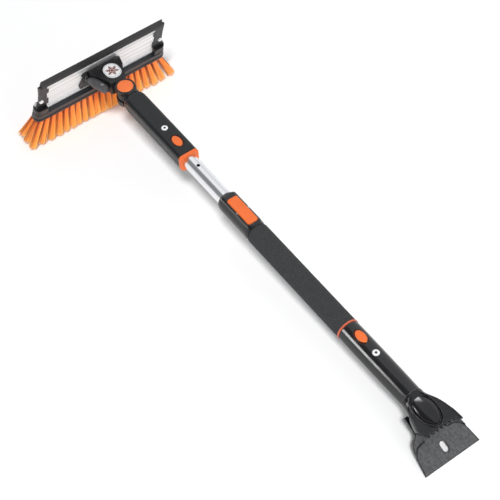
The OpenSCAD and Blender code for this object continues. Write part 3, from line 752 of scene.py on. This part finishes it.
def build_buttons():
    """Oval release buttons of the two handles, each with a stem, and the round button of the pivot."""
    stem_r, pad_h = 2.6, 2.2
    for end in ("upper", "lower"):
        node = end + "_button"
        lo, hi = box(node)
        centre = (middle(node).x, 0)
        obj = pad(end + "_push_button", centre, (hi.x - lo.x) / 2, (hi.y - lo.y) / 2, None,
                  hi.z - pad_h, hi.z, ORANGE, edge=0.9, crown=0.7)
        stem = [level_ring(circle(stem_r, 24), z, *centre) for z in (lo.z, hi.z - pad_h + 0.2)]
        combine(obj, loft("stem", stem, ORANGE), "UNION")
        place(obj, node, "orange_plastic", node)
    lo, hi = box("pivot_button")
    radius = (hi.x - lo.x) / 2
    obj = pad("pivot_push_button", (0, 0), radius, radius, None, hi.z - 4.8, hi.z, SOFT_ORANGE,
              edge=1.2, crown=0.6)
    place(obj, "pivot_button", "orange_plastic", "pivot_button")


def build_screw(name, node, body):
    """Bright pan head with a small socket, a little wider than the CAD screw."""
    shank_r, socket_shade_r = 1.7, 2.3
    lo, hi = box(node)
    x, top = middle(node).x, hi.z
    radius = (hi.x - lo.x) / 2 + 0.2
    seat, shoulder_z = top - 1.8, top - 0.9
    profile = [(shank_r, lo.z), (shank_r, seat), (radius, seat), (radius, shoulder_z)]
    for a in (30, 60, 90):
        turn = math.radians(a)
        profile.append((radius - 0.8 * (1 - math.cos(turn)), shoulder_z + 0.6 * math.sin(turn)))
    profile += [(radius * 0.55, top - 0.05), (2.5, top)]
    profile += [(2.2, top - 0.3), (2.1, top - 1.3), (0.1, top - 1.5)]
    obj = loft(name, [level_ring(circle(r, 48), z, x) for r, z in profile], BRIGHT)
    # Painted shade: the socket's faces get the black material.
    paint(obj, BLACK, lambda p: math.hypot(p.x - x, p.y) < socket_shade_r)
    place(obj, body, "steel", node)


# ---- Foam and lock ----

def build_foam():
    """Foam sleeve with rounded ends and a slightly lumpy outside."""
    lo, hi = box("foam_grip")
    ends = lo.x, hi.x
    around = 120
    rings = []
    for x in stations(*ends, 1.6):
        r = (hi.z - lo.z) / 2 - end_round(x, ends, (5.5, 3.4), (2.0, 0.6))
        ring = []
        for p in pole_ring(x, r, around):
            lump = 0.10 * noise.noise(Vector(p) / 5.0) + 0.07 * noise.noise(Vector(p) / 1.9) - 0.1
            grow = (r + lump) / r
            ring.append((x, p[1] * grow, p[2] * grow))
        rings.append(ring)
    rings += [pole_ring(x, POLE_BORE_R, around) for x in (hi.x, lo.x)]
    place(loft("foam_sleeve", rings, FOAM, 50, closed=True), "pole", "foam", "foam_grip")


def build_lock():
    """Clamp housing with a raised surround, and the long lever in it."""
    lo, hi = box("lock_housing")
    lever_lo, lever_hi = box("lock_lever")
    around = 144
    surround, surround_r = lever_hi.y + 3.6, 23.2
    profile = [(lo.x, 16.7), (lo.x + 1.0, 17.6), (lo.x + 3, 18.6), (lo.x + 8, 19.6), (lo.x + 20, 20.2),
               (hi.x - 6, 20.2), (hi.x - 2.5, 19.6), (hi.x, 18.4)]
    rings = []
    for x in stations(lo.x, hi.x, 2.0):
        body = curve(profile, x)
        grow = smooth(lo.x + 1.5, lo.x + 9, x) * (1 - smooth(hi.x - 6, hi.x - 1.5, x))
        ring = []
        for c, s in circle(1, around):
            r = body
            if s > 0.2:
                square = soft_min(hi.z / s, surround / max(abs(c), 0.001), 2.5)
                r = lerp(body, soft_max(body, min(square, surround_r), 1.2), grow)
            ring.append((x, c * r, s * r))
        rings.append(ring)
    lip_x, lip_r = lo.x + 1.1, 14.6
    for x, r in ((hi.x, POLE_BORE_R), (lip_x, POLE_BORE_R), (lip_x, lip_r), (lo.x, lip_r)):
        rings.append(pole_ring(x, r, around))
    housing = loft("lock_body", rings, GLOSS, 30, closed=True)
    x, corner = (lever_lo.x + lever_hi.x) / 2, 4.2
    half_x, half_y = (lever_hi.x - lever_lo.x) / 2, (lever_hi.y - lever_lo.y) / 2
    window = [(2.2, hi.z + 1.0), (1.6, hi.z - 0.2), (1.2, hi.z - 1.2), (1.1, 10.0)]
    cut(housing, [level_ring(round_rect(half_x + grow, half_y + grow, corner + grow), z, x)
                  for grow, z in window], 30)
    place(housing, "pole", "black_plastic", "lock_housing")
    lever = pad("lock_lever_pad", (x, 0), half_x, half_y, corner, 18.6, lever_hi.z, ORANGE,
                edge=1.3, crown=0.55)
    tooth = [level_ring(circle(2.7, 24), z, lever_lo.x + 4.5) for z in (lever_lo.z, 19.5)]
    combine(lever, loft("tooth", tooth, ORANGE), "UNION")
    place(lever, "lock_lever", "orange_plastic", "lock_lever")


# ---- Scraper ----

def deck_edges(x):
    """Y of the deck's cut-back edge and of its winged edge at x."""
    d = x - LOWER[1]
    back = curve([(0, -20), (6, -20.6), (18, -24.2), (30, -28.4), (44, -32.6), (52, -34.2), (58, -33.2),
                  (73, -26.2), (78, -25.5)], d)
    wing = curve([(0, 20), (6, 20.8), (18, 25), (36, 32), (54, 36), (77, 38.2)], d)
    return back, wing


def deck_top(x):
    """Height of the deck's top at x."""
    return curve([(0, 20.0), (3, 18.6), (7, 15.2), (13, 11.8), (22, 9.6), (30, 8.7), (52, 7.9), (78, 6.6)],
                 x - LOWER[1])


def deck_bottom(x):
    """Height of the deck's underside at x."""
    return curve([(0, -20.0), (5, -19.0), (12, -15.0), (20, -9.5), (26, -7.2), (50, -7.0), (53, -2.0),
                  (55, 2.3), (78, 2.5)], x - LOWER[1])


def dome(x, y):
    """Height of the thumb rest, a smooth oval dome, and the rim and the moat around it."""
    dome_at, foot_z, height = LOWER[1] + 33.0, 8.0, 8.2
    rho = math.hypot((x - dome_at) / 29.0, y / 17.0)
    top = foot_z + height * math.sqrt(max(0.0, 1 - rho ** 2)) if rho < 1 else -50.0
    rim = 1.9 * math.exp(-((rho - 1.17) / 0.04) ** 2)
    moat = 0.9 * math.exp(-((rho - 1.05) / 0.05) ** 2)
    return top, rim, moat


def build_scraper_head():
    """Neck that flattens into a deck, with a thumb rest, a raised border, and teeth to break ice."""
    x0 = LOWER[1] + 0.2
    x_end = LOWER[1] + 77
    slices, across = 96, 120
    rings = []
    for i in range(slices + 1):
        x = x0 + (x_end - x0) * i / slices
        back, wing = deck_edges(x)
        mid, half = (back + wing) / 2, (wing - back) / 2
        top, bottom = deck_top(x), deck_bottom(x)
        centre, rise = (top + bottom) / 2, (top - bottom) / 2
        power = curve([(x0, 2.0), (x0 + 8, 2.5), (x0 + 18, 4.5), (x0 + 30, 8.0), (x0 + 80, 9.0)], x)
        upper, lower = [], []
        for k in range(across + 1):
            share = -math.cos(math.pi * k / across)
            y = mid + half * share
            lift = rise * max(0.0, 1 - abs(share) ** power) ** (1 / power)
            thumb, rim, moat = dome(x, y)
            z = centre + lift + (rim - moat) * smooth(1.0, 0.93, abs(share)) * smooth(x0, x0 + 7, x)
            if thumb > 0:
                z = soft_max(z, thumb, 0.6)
            border = 1.3 * math.exp(-((half * (1 - abs(share)) - 1.8) / 0.9) ** 2)
            z += border * smooth(x0 + 14, x0 + 30, x)
            upper.append((x, y, z))
            lower.append((x, y, centre - lift))
        rings.append(upper + lower[::-1][1:-1])
    deck = loft("scraper_deck", rings, DECK_BLACK, 40)
    cut(deck, [level_ring(tooth_line(), z) for z in (-5, 20)], 40)
    add_foot(deck)
    place(deck, "scraper", "handle_black", "scraper_head")


def tooth_line():
    """Outline of what is cut off in front of the deck, zigzag along the teeth."""
    teeth, depth = 6, 7.0
    tip, beyond = LOWER[1] + 73, LOWER[1] + 93
    first, last = 27.0, -24.0
    line = [(beyond, first + 3), (tip - 3, first + 3)]
    for k in range(2 * teeth + 1):
        line.append((tip if k % 2 == 0 else tip - depth, lerp(first, last, k / (2 * teeth))))
    return line + [(tip + 1, last - 2), (beyond, last - 2)]


def add_foot(deck):
    """Foot under the deck that the blade is riveted to, narrower at its ends and at its top."""
    top, taper, above_blade = -4.0, 2, 0.06
    rings = []
    for u, half in ((-35.5, 19), (-34.5, 20), (-12, 20), (-10.4, 19)):
        low = blade_point(u, 0, above_blade)
        rings.append([(low.x, -half, low.z), (low.x, half, low.z),
                      (low.x, half - taper, top), (low.x, taper - half, top)])
    combine(deck, loft("foot", rings, BLACK), "UNION", 40)


BLADE_MOUNT = mount("hang_slot")
BLADE_W = Vector(BLADE_MOUNT["axis"])
BLADE_U = Vector((BLADE_W.z, 0, -BLADE_W.x))
BLADE_AT = Vector(BLADE_MOUNT["pos_m"]) / MM - BLADE_U * BLADE_SLOT_U
BLADE_REAR, BLADE_EDGE = -43.0, 50.0


def blade_point(u, v, w):
    """u towards the cutting edge, v across, w out of the top face."""
    return BLADE_AT + BLADE_U * u + BLADE_W * w + Vector((0, v, 0))


def blade_half(u):
    """Half of the blade's width."""
    return curve([(BLADE_REAR, 29.0), (-26, 29.4), (-15, 30.2), (-9, 34), (-5, 39.8), (-1, 44.0),
                  (4, 46.6), (17, 49.4), (34, 52.3), (BLADE_EDGE, 55)], u)


def shoulder(side):
    """Place along the blade of the foot of its raised shoulder, at a distance from the middle."""
    return 2 + 15 * (max(0.0, side - 24) / 25) ** 3


def blade_face(u, v):
    """Height of the top face: flat, with a raised shoulder that runs round each rear corner."""
    side = abs(v)
    beside = smooth(22, 25, side) * smooth(-15, -11, u)
    raised = 2.4 * smooth(-0.6, 0.8, shoulder(side) - u) * beside
    moat = 0.9 * math.exp(-((u - shoulder(side) - 2.0) / 0.9) ** 2) * beside
    lip = 0.75 * smooth(47.6, BLADE_EDGE, u)
    return raised - moat - lip


def blade_shade_and_outline(p):
    """True where the blade is painted darker: painted shadow on its rear under the deck, painted shade in
    the groove beside each shoulder, and a dark line along its border.
    """
    u, side, w = (p - BLADE_AT).dot(BLADE_U), abs(p.y), (p - BLADE_AT).dot(BLADE_W)
    groove = side > 23 and 0.6 < u - shoulder(side) < 3.2
    return w >= -1.5 and (u < -12.5 or side > blade_half(u) - 1.4 or groove)


def build_blade():
    """Flared blade with a bevelled cutting edge, a hanging slot and two rivet holes."""
    lo, hi = BLADE_REAR, BLADE_EDGE
    places = [lo, lo + 0.3, lo + 0.8] + [lo + 2 * k for k in range(1, 13)]
    places += [-18 + 0.55 * k for k in range(72)]
    places += [22 + 1.5 * k for k in range(18)] + [48.2, 48.9, 49.5, 49.8, hi]
    across = 150
    rings = []
    for u in sorted(set(places)):
        half = blade_half(u)
        under = curve([(-6, -7.0), (-5.9, -7.0), (2, -3.4), (14, -3.4), (hi, -1.2)], u)
        top, bottom = [], []
        for k in range(across + 1):
            v = half * lerp(-math.cos(math.pi * k / across), -1 + 2 * k / across, 0.75)
            border = min(half - abs(v), u - lo)
            soften = 0.55 * max(0.0, 1 - border / 0.8) ** 2
            top.append(blade_point(u, v, blade_face(u, v) - soften))
            bottom.append(blade_point(u, v, under + soften * 0.5))
        rings.append(top + bottom[::-1])
    blade = loft("blade", rings, BLADE, 30)
    slot = ((1.0, 1.0), (0.7, -0.1), (0.15, -0.7), (0, -1.2), (0, -8))
    cut(blade, [[blade_point(BLADE_SLOT_U + x, y, w)
                 for x, y in round_rect(9.3 + grow, 5.2 + grow, 5.15 + grow, 10)] for grow, w in slot], 30)
    rivet_u, rivet_v, rivet_r = -20, 13, 2.1
    for v in (-rivet_v, rivet_v):
        cut(blade, [[blade_point(rivet_u + x, v + y, w) for x, y in circle(rivet_r, 24)]
                    for w in (3, -9)], 30)
    # Painted shadow on the blade's rear under the deck, painted shade in the grooves, and a dark border
    # line.
    paint(blade, DECK_BLACK, blade_shade_and_outline)
    place(blade, "scraper", "blade_plastic", "scraper_blade")


# ---- Badge ----

def snowflake(arm, half, branches):
    """Outline of a six-armed snowflake. branches are (distance, length) pairs along an arm."""
    side = [(half * math.sqrt(3), half)]
    c, s = 0.5, math.sqrt(3) / 2
    for at, length in branches:
        side.append((at - half / math.sqrt(3), half))
        side.append((at - s * half + c * length, c * half + s * length))
        side.append((at + s * half + c * length, -c * half + s * length))
        side.append((at + half * math.sqrt(3), half))
    side.append((arm, half))
    outline = []
    for k in range(6):
        turn = math.radians(60 * k)
        for x, y in [(x, -y) for x, y in side[1:]] + side[::-1]:
            outline.append((x * math.cos(turn) - y * math.sin(turn),
                            x * math.sin(turn) + y * math.cos(turn)))
    return outline


def build_badge():
    """Snowflake and border that stand a little proud of the badge."""
    at, face = middle("hub_badge"), box("hub_badge")[1].z
    sunk, proud = face - 0.3, face + 0.3
    flake = snowflake(12.6, 0.85, [(4.4, 3.6), (8.0, 3.0)])
    rings = [level_ring(flake, z, at.x, at.y) for z in (sunk, face + 0.35)]
    place(loft("badge_snowflake", rings, INK_BROWN, 20), "head", "badge")
    outer, inner = round_rect(17.4, 13.9, 13.8, 12), round_rect(16.7, 13.2, 13.1, 12)
    rings = [level_ring(line, z, at.x, at.y)
             for line, z in ((outer, sunk), (outer, proud), (inner, proud), (inner, sunk))]
    place(loft("badge_border", rings, INK_GREY, closed=True), "head", "badge")


# ---- CAD nodes that keep their shape ----

def dress_cad_nodes():
    """Bevels and materials for the nodes that no mesh here stands for."""
    for node in ("left_end_bracket", "right_end_bracket"):
        bevelled(node, BLACK, 0.0009)
    bevelled("head_hub", BLACK, 0.0008)
    bevelled("pivot_yoke", BLACK, 0.0007)
    bevelled("brush_base", BASE_BLACK, 0.0009)
    bevelled("squeegee_panel", PANEL, 0.0002, 2)
    bevelled("squeegee_lip", RUBBER, 0.0005)
    bevelled("hub_badge", WHITE_FILM, 0.0004)
    bevelled("collar_ring", ORANGE, 0.0004)
    # The grip ring carries painted shade and a painted edge highlight.
    bevelled("grip_ring", RING_SHADED_ORANGE, 0.0006)
    bevelled("inner_tube", TUBE, 0.0)
    bevelled("outer_tube", TUBE, 0.0)
    for node in ("upper_sleeve", "guide_bush", "tube_end_plug", "lower_insert"):
        bevelled(node, INNER, 0.0)
    for node in ("hub_screws", "bracket_screws", "pivot_pin", "lever_pin", "blade_rivets",
                 "pivot_lock_gear"):
        bevelled(node, STEEL, 0.0002, 2)
    for node in ("pivot_spring", "upper_button_spring", "lower_button_spring", "lever_spring",
                 "upper_snap_pin", "lower_snap_pin", "upper_snap_spring", "lower_snap_spring"):
        bevelled(node, STEEL, 0.0)


# ---- Stage ----

def lowest(node):
    """The lowest vertex of a CAD node."""
    return min((v.co for v in NODES[node].data.vertices), key=lambda p: p.z)


def build_floor():
    """Pale floor that the bristles and the blade both rest on."""
    brush, blade = lowest("bristles"), lowest("scraper_blade")
    slope = (blade.z - brush.z) / (blade.x - brush.x)
    half, clearance = 8.0, 0.002
    points = [(x, y, brush.z - clearance + slope * (x - brush.x))
              for x, y in ((-half, -half), (half, -half), (half, half), (-half, half))]
    mesh = bpy.data.meshes.new("floor")
    mesh.from_pydata(points, [], [(0, 1, 2, 3)])
    g = Graph("pale_floor")
    tone = g.mix(g.grain(3, 2), (0.90, 0.90, 0.905), (0.92, 0.92, 0.92))
    mesh.materials.append(g.finish(Base_Color=tone, Roughness=0.9, Specular_IOR_Level=0.1,
                                   Emission_Color=(1.0, 1.0, 1.0), Emission_Strength=0.05))
    link("floor", mesh)


def aim(obj, at, target):
    """Puts a light in place and turns it to a point."""
    obj.location = at
    obj.rotation_mode = "QUATERNION"
    obj.rotation_quaternion = (Vector(target) - Vector(at)).to_track_quat("-Z", "Y")


def area_light(name, at, target, width, height, power):
    """Rectangular light that the camera doesn't see."""
    data = bpy.data.lights.new(name, "AREA")
    data.shape = "RECTANGLE"
    data.size, data.size_y = width, height
    data.energy = power
    obj = link(name, data)
    aim(obj, at, target)
    obj.visible_camera = False
    return obj


def build_world():
    """Bright room with a dark band along the pole, which draws the lines on the tube.

    The room is dimmer for diffuse rays, so that the sun's shadow shows on the floor.
    """
    dimmed = 0.45
    stops = [(0.0, 1.0), (0.30, 0.90), (0.53, 1.1), (0.575, 0.26), (0.87, 0.26), (0.92, 0.95)]
    world = bpy.data.worlds.new("studio")
    world.use_nodes = True
    new, join = world.node_tree.nodes.new, world.node_tree.links.new
    background = world.node_tree.nodes["Background"]
    background.inputs["Color"].default_value = (0.97, 0.985, 1.0, 1)
    split = new("ShaderNodeSeparateXYZ")
    join(new("ShaderNodeTexCoord").outputs["Generated"], split.inputs["Vector"])
    angle = new("ShaderNodeMath")
    angle.operation = "ARCTAN2"
    join(split.outputs["Z"], angle.inputs[0])
    join(split.outputs["Y"], angle.inputs[1])
    scale = new("ShaderNodeMapRange")
    scale.inputs["From Max"].default_value = math.pi
    join(angle.outputs["Value"], scale.inputs["Value"])
    ramp = new("ShaderNodeValToRGB")
    join(scale.outputs["Result"], ramp.inputs["Fac"])
    while len(ramp.color_ramp.elements) < len(stops):
        ramp.color_ramp.elements.new(0.5)
    for element, (at, level) in zip(ramp.color_ramp.elements, stops):
        element.position = at
        element.color = (level, level, level, 1)
    dim = new("ShaderNodeMapRange")
    dim.inputs["To Min"].default_value = 1.0
    dim.inputs["To Max"].default_value = dimmed
    join(new("ShaderNodeLightPath").outputs["Is Diffuse Ray"], dim.inputs["Value"])
    strength = new("ShaderNodeMath")
    strength.operation = "MULTIPLY"
    join(ramp.outputs["Color"], strength.inputs[0])
    join(dim.outputs["Result"], strength.inputs[1])
    join(strength.outputs["Value"], background.inputs["Strength"])
    bpy.context.scene.world = world


def only_on(light, names):
    """Lets a light fall on the named pieces alone."""
    lit = bpy.data.collections.new(light.name + "_lit")
    for name in names:
        lit.objects.link(bpy.data.objects[name])
    light.light_linking.receiver_collection = lit


def build_lights():
    """Sun for the shadow, a soft fill, and two boxes that only draw highlights on the dark parts."""
    sun = bpy.data.lights.new("key", "SUN")
    sun.energy = 2.7
    sun.angle = math.radians(10)
    key = link("key", sun)
    aim(key, (0.45, -0.31, 1.0), (0, 0, 0))
    key.visible_glossy = False
    fill = area_light("front_fill", (2.4, -0.3, 0.75), (0, 0, -0.02), 1.6, 0.9, 14)
    fill.visible_glossy = False
    over_dome = area_light("dome_box", (-1.2, 0.86, 1.4), (0.84, 0, 0.02), 1.3, 0.9, 55)
    over_dome.visible_diffuse = False
    only_on(over_dome, ["scraper_deck"])
    strip = area_light("ridge_strip", (-0.235, -1.534, 0.844), (0.745, 0, 0.015), 0.62, 0.62, 15)
    strip.visible_diffuse = False
    only_on(strip, ["scraper_deck", "lower_handle_top", "lock_body"])


def build_camera():
    """Camera at the photograph's viewing angle, aimed near the middle of the object."""
    azimuth, elevation, roll = math.radians(55.9), math.radians(53.5), math.radians(-2.6)
    target, distance = Vector((0.4293, -0.0312, 0)), 2.352
    data = bpy.data.cameras.new("camera")
    data.lens, data.sensor_width = 100.6, 36
    cam = link("camera", data)
    back = Vector((math.sin(azimuth) * math.cos(elevation), -math.cos(azimuth) * math.cos(elevation),
                   math.sin(elevation)))
    level = Vector((math.cos(azimuth), math.sin(azimuth), 0))
    upright = back.cross(level)
    right = level * math.cos(roll) + upright * math.sin(roll)
    turned = Matrix((right, back.cross(right), back)).transposed()
    cam.matrix_world = Matrix.Translation(target + back * distance) @ turned.to_4x4()
    bpy.context.scene.camera = cam


dress_cad_nodes()
build_bristles()
build_hub_arm()
build_bracket_domes()
build_handles()
build_buttons()
build_screw("upper_handle_screw", "upper_screw", "upper_handle")
build_screw("lower_handle_screw", "lower_screw", "scraper")
build_foam()
build_lock()
build_scraper_head()
build_blade()
build_badge()
build_floor()
build_world()
build_lights()
build_camera()

scene = bpy.context.scene
scene.view_settings.view_transform = "Standard"
scene.view_settings.look = "None"
